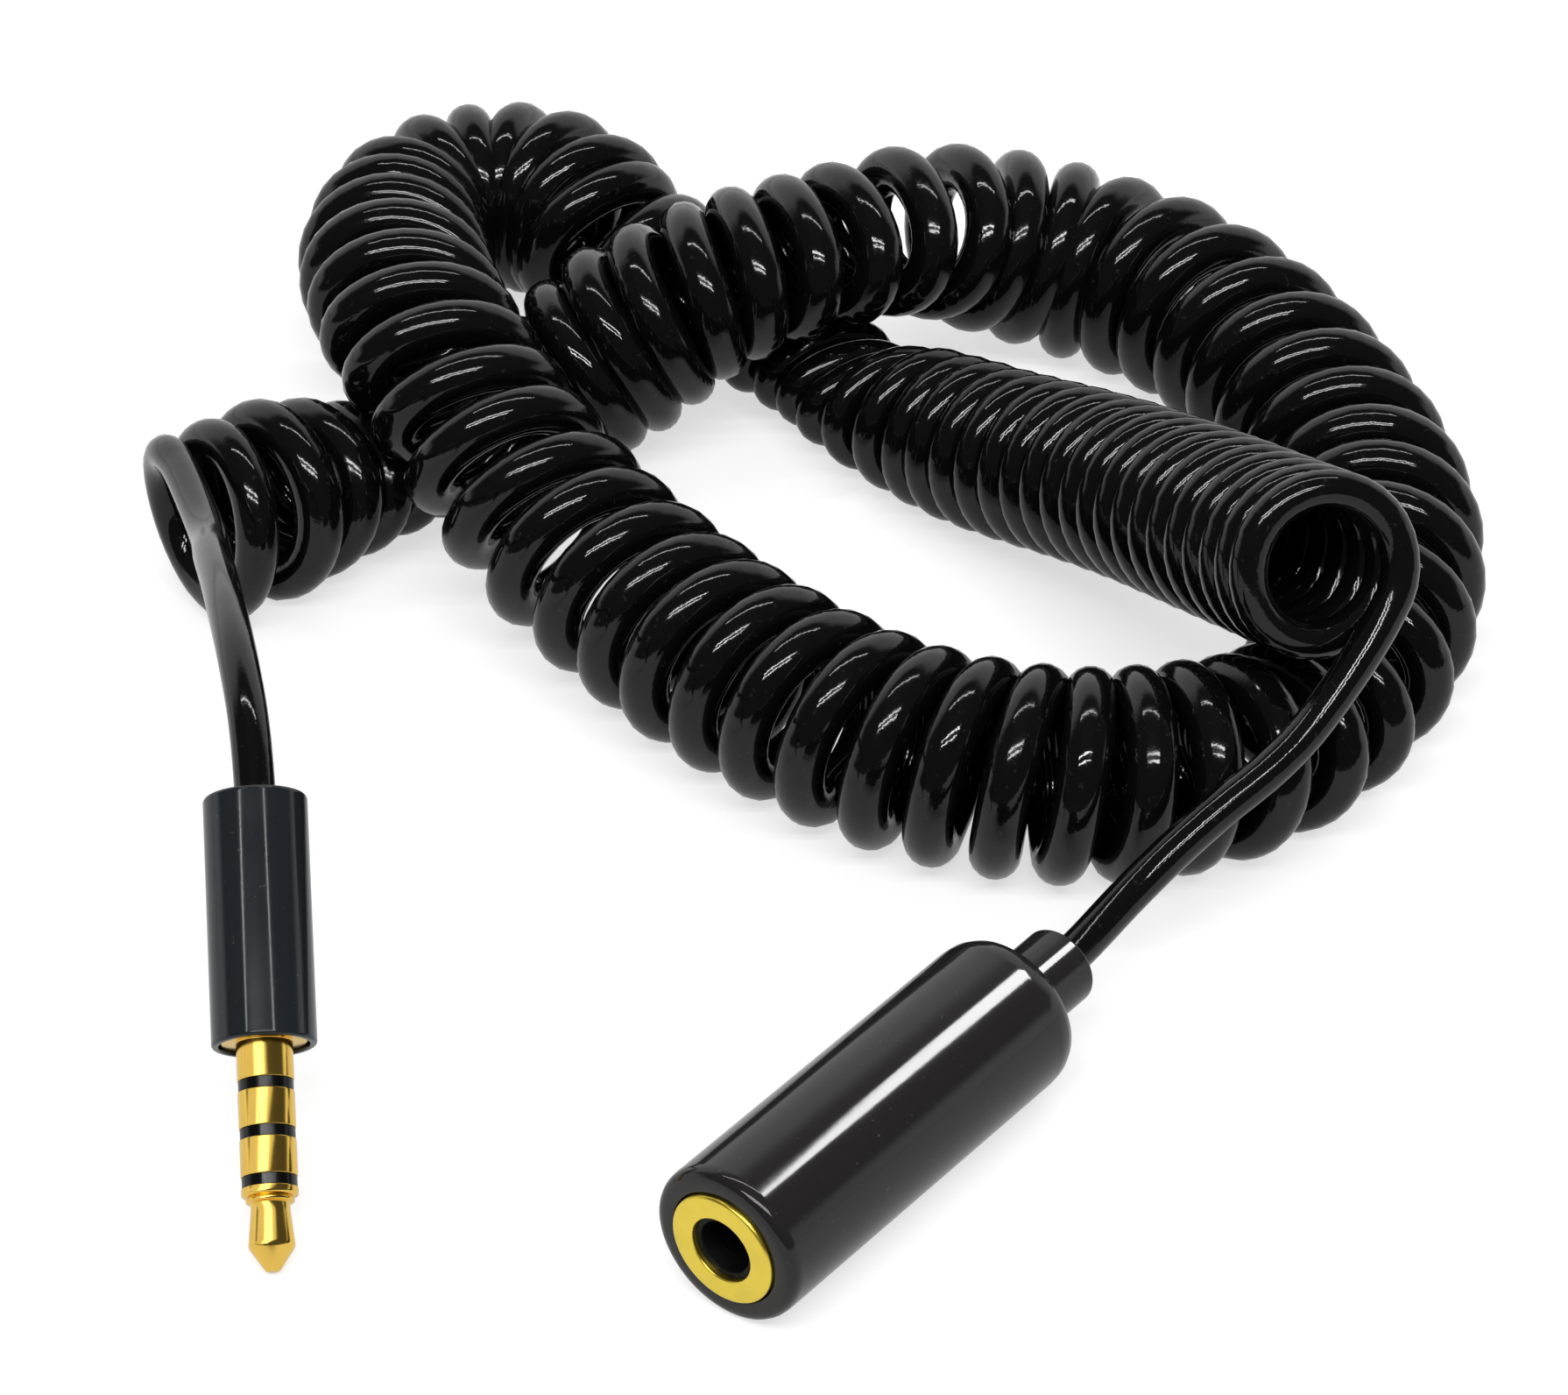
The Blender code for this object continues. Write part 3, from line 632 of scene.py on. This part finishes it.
def make_plug(place, gold, band, shell):
    """Tip, two rings and sleeve with the bands between them, the collar and the barrel."""
    pin, rod = PIN_D / 2, ROD_D / 2
    turned(
        "plug_point",
        (
            (0, 0),
            (0.42, 0, 0.1),
            (1.45, 1.5, 0.2),
            (1.2, 3.8, 0.3),
            (1.22, 4.15, 0.05),
            (1.5, 4.23, 0.1),
            (1.5, 4.44, 0.1),
            (1.38, 4.51, 0.05),
            (pin, 4.63, 0.12),
            (pin, TIP_LENGTH, 0.05),
            (rod, TIP_LENGTH),
            (rod, PLUG_TAILS_END),
            (0, PLUG_TAILS_END),
        ),
        gold,
        "gold",
        place,
        "plug_tip",
    )
    inner = rod
    ends = [PLUG_TAILS_END - step for step in TAIL_STEPS]
    for number in (1, 2, 3):
        front = TIP_LENGTH + (number - 1) * (BAND + RING)
        bore, outside = inner + FIT, inner + FIT + CONTACT_WALL
        end = ends[2 * number - 2]
        turned(
            f"plug_band_{number}",
            (
                (bore, front + FIT),
                (pin - BAND_SUNK, front + FIT),
                (pin - BAND_SUNK, front + BAND - FIT),
                (outside, front + BAND - FIT),
                (outside, end),
                (bore, end),
            ),
            band,
            "insulator",
            place,
            f"plug_insulator_{number}",
        )
        if number == 3:
            break
        bore, inner = outside + FIT, outside + FIT + CONTACT_WALL
        end = ends[2 * number - 1]
        turned(
            f"plug_contact_{number}",
            (
                (bore, front + BAND),
                (pin, front + BAND, PIN_EDGE),
                (pin, front + BAND + RING, PIN_EDGE),
                (inner, front + BAND + RING),
                (inner, end),
                (bore, end),
            ),
            gold,
            "gold",
            place,
            f"plug_ring_{number}",
        )
    make_sleeve(place, outside + FIT, front + BAND, ends[-1], gold)
    bore, half, hole = PLUG_BORE_D / 2, PLUG_D / 2, CORD_D / 2 + PLUG_HOLE_ROOM
    turned(
        "plug_shell",
        (
            (bore, PIN_LENGTH, 0.1),
            (half, PIN_LENGTH, 0.22),
            (half, PLUG_LENGTH, 0.3),
            (hole, PLUG_LENGTH, 0.15),
            (hole, PLUG_LENGTH - PLUG_REAR_WALL),
            (bore, PLUG_LENGTH - PLUG_REAR_WALL),
        ),
        shell,
        "shell",
        place,
        "plug_barrel",
    )


def make_sleeve(place, bore, front, rear, gold):
    """The rear contact and its collar, with the earth tag and the clip that holds the cord."""
    pin, collar, sleeve = PIN_D / 2, COLLAR_D / 2, SLEEVE_D / 2
    shape = bmesh.new()
    profile = (
        (bore, front),
        (pin, front, PIN_EDGE),
        (pin, COLLAR_FRONT, 0.05),
        (collar, COLLAR_FRONT, 0.12),
        (collar, COLLAR_REAR, 0.1),
        (sleeve, COLLAR_REAR),
        (sleeve, rear, 0.1),
        (bore, rear),
    )
    spin(shape, rounded(profile), closed=True)
    inside, outside, clip_rear = CLIP_BORE_D / 2, CLIP_D / 2, CLIP_FRONT + CLIP_LENGTH
    clip = ((inside, CLIP_FRONT), (outside, CLIP_FRONT), (outside, clip_rear), (inside, clip_rear))
    spin(shape, clip, closed=True, degrees=CLIP_WRAP, turn=-math.radians(CLIP_WRAP / 2))
    low, high = (1.73, -TAG_WIDTH / 2, rear - 0.6), (2.07, TAG_WIDTH / 2, CLIP_FRONT + 0.2)
    add_box(shape, low, high)
    mesh_piece("plug_rear_contact", shape, gold, "gold", place, "plug_sleeve")


def add_box(shape, low, high, spun=0.0):
    """Adds a box between two corners to a bmesh, turned round the z axis by degrees."""
    size, middle = Vector(high) - Vector(low), (Vector(high) + Vector(low)) / 2
    spread_box = Matrix.Translation(middle * MM) @ Matrix.Diagonal((*(size * MM), 1.0))
    turn = Matrix.Rotation(math.radians(spun), 4, "Z")
    bmesh.ops.create_cube(shape, size=1.0, matrix=turn @ spread_box)


def make_socket(place, ring_gold, shell, liner):
    """The moulded housing and its rear neck, the gold bush with its tag, and the bore's lining."""
    half, hollow, neck = SOCKET_D / 2, SOCKET_BORE_D / 2, SOCKET_NECK_D / 2
    hole, rear = CORD_D / 2 + SOCKET_HOLE_ROOM, SOCKET_LENGTH
    turned(
        "socket_shell",
        (
            (hollow, 0, 0.08),
            (half, 0, 0.9),
            (half, rear, 1.9),
            (neck + 0.05, rear, 0.2),
            (neck + 0.05, rear - SOCKET_REAR_WALL),
            (hollow, rear - SOCKET_REAR_WALL),
        ),
        shell,
        "shell",
        place,
        "socket_housing",
    )
    fillet = [
        (neck + NECK_FILLET * (1 - math.sin(angle)), rear + NECK_FILLET * (1 - math.cos(angle)))
        for angle in np.linspace(0.0, math.pi / 2, CORNER_STEPS + 1)
    ]
    turned(
        "socket_grip",
        (
            (hole, rear - 4.2),
            (hollow - 0.1, rear - 4.2),
            (hollow - 0.1, rear - 3.1),
            (neck, rear - 3.1),
            (neck, rear),
            *fillet,
            (neck, SOCKET_NECK_END, 0.25),
            (hole, SOCKET_NECK_END, 0.12),
        ),
        shell,
        "shell",
        place,
        "socket_neck",
    )
    bore, mouth, flange = BORE_D / 2, MOUTH_D / 2, BUSH_D / 2
    bush = bmesh.new()
    profile = (
        (mouth, BUSH_FRONT, 0.15),
        (flange, BUSH_FRONT, 0.25),
        (flange, 1.3),
        (3.3, 1.3),
        (3.3, 5.2),
        (2.9, 5.2),
        (2.9, LINING_REAR),
        (mouth, LINING_REAR),
    )
    spin(bush, rounded(profile), closed=True)
    add_box(bush, (3.025, -0.6, 4.6), (3.275, 0.6, TAILS_END), spun=60)
    mesh_piece("socket_ring", bush, ring_gold, "gold", place, "socket_bush")
    lining = (
        (bore, LINING_FRONT, 0.1),
        (mouth - FIT, LINING_FRONT),
        (mouth - FIT, LINING_REAR),
        (bore, LINING_REAR),
    )
    turned("socket_lining", lining, liner, "insulator", place)


# --- Stage --------------------------------------------------------------------------------


def make_camera():
    """Straight in front of the cable, looking down on it as in the photo."""
    data = bpy.data.cameras.new("camera")
    data.sensor_fit = "HORIZONTAL"
    data.sensor_width = SENSOR
    data.lens = SENSOR * FOCAL_PIXELS / IMAGE_WIDTH
    data.clip_end = VIEW_DEPTH
    camera = bpy.data.objects.new("camera", data)
    bpy.context.scene.collection.objects.link(camera)
    height = math.radians(CAMERA_HEIGHT)
    away = Vector((0.0, -math.cos(height), math.sin(height)))
    camera.location = (Vector(CAMERA_TARGET) + away * CAMERA_DISTANCE) * MM
    camera.rotation_euler = away.to_track_quat("Z", "Y").to_euler()
    bpy.context.scene.camera = camera


def seen_ray(owner):
    """1 for rays from the camera, and for those reflected or let through, and 0 for light."""
    path = add_node(owner, "ShaderNodeLightPath").outputs
    bounced = combined(owner, path["Is Glossy Ray"], path["Is Transmission Ray"])
    return combined(owner, path["Is Camera Ray"], bounced)


def make_floor():
    """A pale table that shows white and keeps the soft shadow under the cable."""
    mesh = bpy.data.meshes.new("floor")
    shape = bmesh.new()
    bmesh.ops.create_grid(shape, x_segments=1, y_segments=1, size=FLOOR_SIZE)
    shape.to_mesh(mesh)
    shape.free()
    floor = bpy.data.objects.new("floor", mesh)
    bpy.context.scene.collection.objects.link(floor)
    mat = material("floor", FLOOR_COLOUR, 0.0, 0.9, 0.0)
    shader = mat.node_tree.nodes["Principled BSDF"]
    shader.inputs["Emission Color"].default_value = (1.0, 1.0, 1.0, 1.0)
    path = add_node(mat, "ShaderNodeLightPath")
    mirrored = add_node(mat, "ShaderNodeMath", operation="MULTIPLY")
    mirrored.inputs[1].default_value = FLOOR_MIRRORED
    link(mat, seen_ray(mat), mirrored.inputs[0])
    glow = add_node(mat, "ShaderNodeMath", operation="MULTIPLY_ADD")
    glow.inputs[1].default_value = FLOOR_GLOW - FLOOR_MIRRORED
    link(mat, path.outputs["Is Camera Ray"], glow.inputs[0])
    link(mat, mirrored.outputs[0], glow.inputs[2])
    link(mat, glow.outputs[0], shader.inputs["Emission Strength"])
    mesh.materials.append(mat)


def make_lamp(name, place, size, power, lit=(), unlit=()):
    """A rectangular lamp, in metres, that faces the cable. It lights all but a few, or only a few."""
    data = bpy.data.lights.new(name, "AREA")
    data.shape = "RECTANGLE"
    data.size, data.size_y = size
    data.energy = power
    light = bpy.data.objects.new(name, data)
    bpy.context.scene.collection.objects.link(light)
    light.location = place
    light.rotation_euler = light.location.to_track_quat("Z", "Y").to_euler()
    if lit or unlit:
        receivers = bpy.data.collections.new(name)
        for piece in lit or unlit:
            receivers.objects.link(bpy.data.objects[piece])
        for entry in receivers.collection_objects:
            entry.light_linking.link_state = "INCLUDE" if lit else "EXCLUDE"
        light.light_linking.receiver_collection = receivers


def make_lamps():
    """Long thin tubes along x for the cord's fine highlights, and the plug's and socket's own."""
    for number, (elevation, power) in enumerate(TUBES):
        place = (0.0, -TUBE_HEIGHT / math.tan(math.radians(elevation)), TUBE_HEIGHT)
        make_lamp(f"tube_{number}", place, (TUBE_LENGTH, TUBE_WIDTH), power, unlit=PIN_PIECES)
    for number, streak in enumerate(STREAKS):
        make_lamp(f"streak_{number}", *streak, ("plug_shell",))
    for number, sky in enumerate(SKIES):
        make_lamp(f"sky_{number}", *sky, PIN_PIECES)
    make_lamp("window", *WINDOW, SOCKET_PIECES)


def make_world():
    """Even light. Mirrored, the room is white behind the cable and low down, and dark in front."""
    world = bpy.data.worlds.new("world")
    bpy.context.scene.world = world
    world.use_nodes = True
    background = world.node_tree.nodes["Background"]
    background.inputs["Color"].default_value = (1.0, 1.0, 1.0, 1.0)
    where = add_node(world, "ShaderNodeTexCoord")
    split = add_node(world, "ShaderNodeSeparateXYZ")
    link(world, where.outputs["Generated"], split.inputs[0])

    def fade(axis, limits, low=0.0, high=1.0):
        """From low to high between two shares of the direction along an axis."""
        return ramp(world, split.outputs[axis], *limits, low, high, soft=True)

    wall = combined(world, fade("Y", ROOM_BACK), fade("Z", ROOM_WALL, 1.0, 0.0), "MULTIPLY")
    side = combined(world, fade("Y", ROOM_SIDE), fade("Z", ROOM_LOW, 1.0, 0.0), "MULTIPLY")
    ceiling = fade("Z", ROOM_TOP, high=ROOM_TOP_SHARE)
    room = combined(world, combined(world, wall, side), ceiling)
    room = ramp(world, room, 0.0, 1.0, ROOM_DARK, soft=True)
    path = add_node(world, "ShaderNodeLightPath")
    room = combined(world, room, path.outputs["Is Camera Ray"])
    mix = add_node(world, "ShaderNodeMix")
    mix.inputs["A"].default_value = WORLD_LIGHT
    link(world, seen_ray(world), mix.inputs["Factor"])
    link(world, room, mix.inputs["B"])
    link(world, mix.outputs["Result"], background.inputs["Strength"])


def main():
    """Builds the whole scene round the part."""
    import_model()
    bpy.context.scene.view_settings.view_transform = "Standard"
    plug_place = lying(PLUG_TIP, PLUG_REAR)
    socket_place = lying(SOCKET_FACE, SOCKET_REAR)
    make_camera()
    make_cord(plug_place, socket_place, cord_material())
    pin_gold = gold_material("pin_gold", (0.86, 0.56, 0.11), 0.15)
    ring_gold = gold_material("ring_gold", (0.88, 0.68, 0.09), 0.3, turned_marks=False)
    barrel = shell_material("barrel_plastic", 0.11, (0.011, 0.014, 0.017))
    housing = shell_material("housing_plastic", 0.09, (0.013, 0.012, 0.012))
    make_plug(plug_place, pin_gold, band_material(), barrel)
    moulding = body_material()
    make_socket(socket_place, ring_gold, housing, moulding)
    dress_nodes(moulding)
    make_floor()
    make_world()
    make_lamps()


main()
